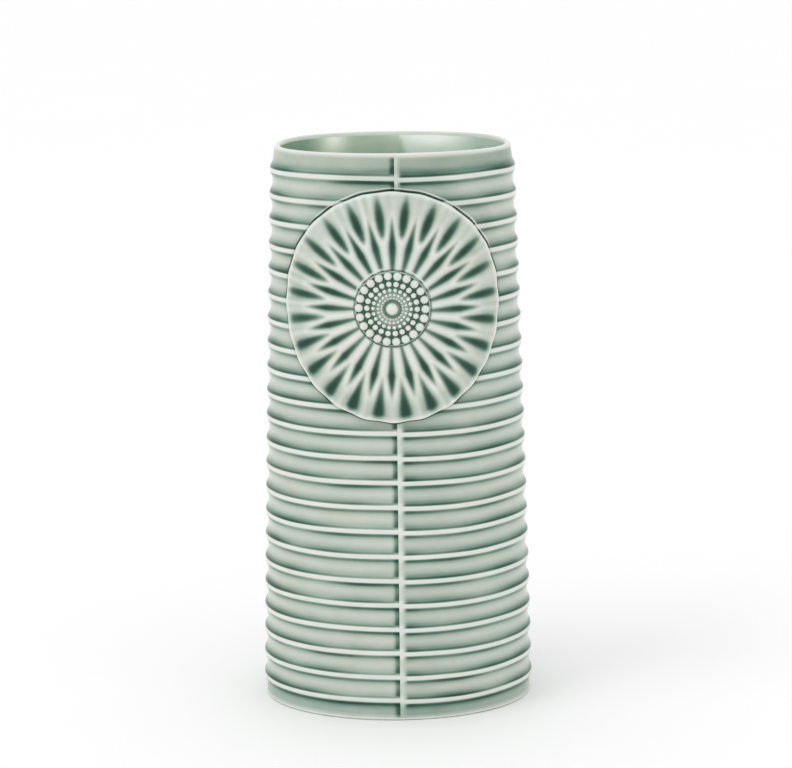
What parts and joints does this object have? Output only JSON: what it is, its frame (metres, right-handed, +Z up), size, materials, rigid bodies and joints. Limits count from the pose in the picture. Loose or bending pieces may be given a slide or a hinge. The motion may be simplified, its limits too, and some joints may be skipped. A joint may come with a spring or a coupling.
{
  "type": "stoneware vase",
  "caption": "Oval, tapering stoneware vase with horizontal ribs, a lapped seam down the front, a pressed flower disc with a beaded button, and a soft green celadon glaze.",
  "frame": {"origin": "on the vase's upright axis, at the level that its foot stands on", "axes": "+Z up, +X along the oval's width, to the right seen from the front, -Y towards the front with the seam and the flower"},
  "size_m": [0.1122, 0.0801, 0.231],
  "materials": {
    "wall_glaze": "glossy celadon glaze, pale on the ribs and dark green where it pools",
    "floor_glaze": "glossy celadon glaze inside, bare stoneware underneath",
    "flower_glaze": "glossy celadon glaze, pale on the petals and teal in their hollows",
    "button_glaze": "glossy celadon glaze, pooled dark between the beads",
    "bead_glaze": "glossy celadon glaze, thin and pale"
  },
  "bodies": {
    "root": {"wall": "wall_glaze", "floor_slab": "floor_glaze", "flower_disc": "flower_glaze", "centre_button": "button_glaze", "bead_ring_1": "bead_glaze", "bead_ring_2": "bead_glaze", "bead_ring_3": "bead_glaze", "bead_ring_4": "bead_glaze", "bead_ring_5": "bead_glaze", "centre_pearl": "bead_glaze"}
  },
  "joints": []
}
